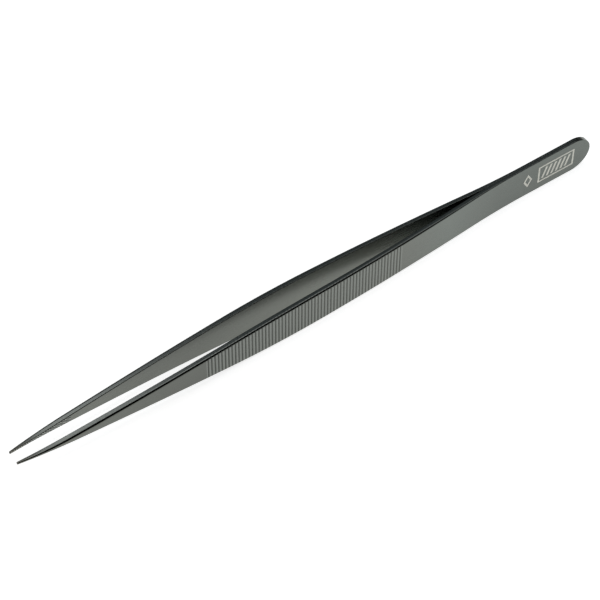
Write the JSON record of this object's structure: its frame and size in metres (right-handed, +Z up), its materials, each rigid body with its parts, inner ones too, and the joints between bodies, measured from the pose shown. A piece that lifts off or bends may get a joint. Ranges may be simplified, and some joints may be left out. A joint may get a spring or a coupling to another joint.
{
  "type": "straight precision tweezers",
  "caption": "Slim straight tweezers with fine serrated tips, a cross-grooved finger grip and spring arms welded together at a rounded tail.",
  "frame": {"origin": "on the surface that the tweezers lie on, under the middle of their length and width", "axes": "+X from the tips to the tail, Y is the direction of the pinch with the near arm at -Y and the far arm at +Y, +Z up across the width of the arms"},
  "size_m": [0.15, 0.0074, 0.01],
  "materials": {
    "blackened_steel": "black oxide over fine lengthwise grinding, satin",
    "weld_steel": "fused steel, sealed between the heels"
  },
  "bodies": {
    "tail": {"near_heel": "blackened_steel", "far_heel": "blackened_steel", "weld_nuggets": "weld_steel", "near_neck": "blackened_steel", "far_neck": "blackened_steel"},
    "near_arm": {"near_blade": "blackened_steel"},
    "far_arm": {"far_blade": "blackened_steel"}
  },
  "joints": [
    {"name": "near_arm_flex", "type": "hinge", "parent": "tail", "child": "near_arm", "pos_m": [0.037, -0.00106, 0.005], "axis": [0, 0, -1], "range_deg": [0, 0.65], "stiffness_Nm_per_rad": 4, "deforming": ["near_neck"]},
    {"name": "far_arm_flex", "type": "hinge", "parent": "tail", "child": "far_arm", "pos_m": [0.037, 0.00106, 0.005], "axis": [0, 0, 1], "range_deg": [0, 0.65], "stiffness_Nm_per_rad": 4, "deforming": ["far_neck"]}
  ]
}
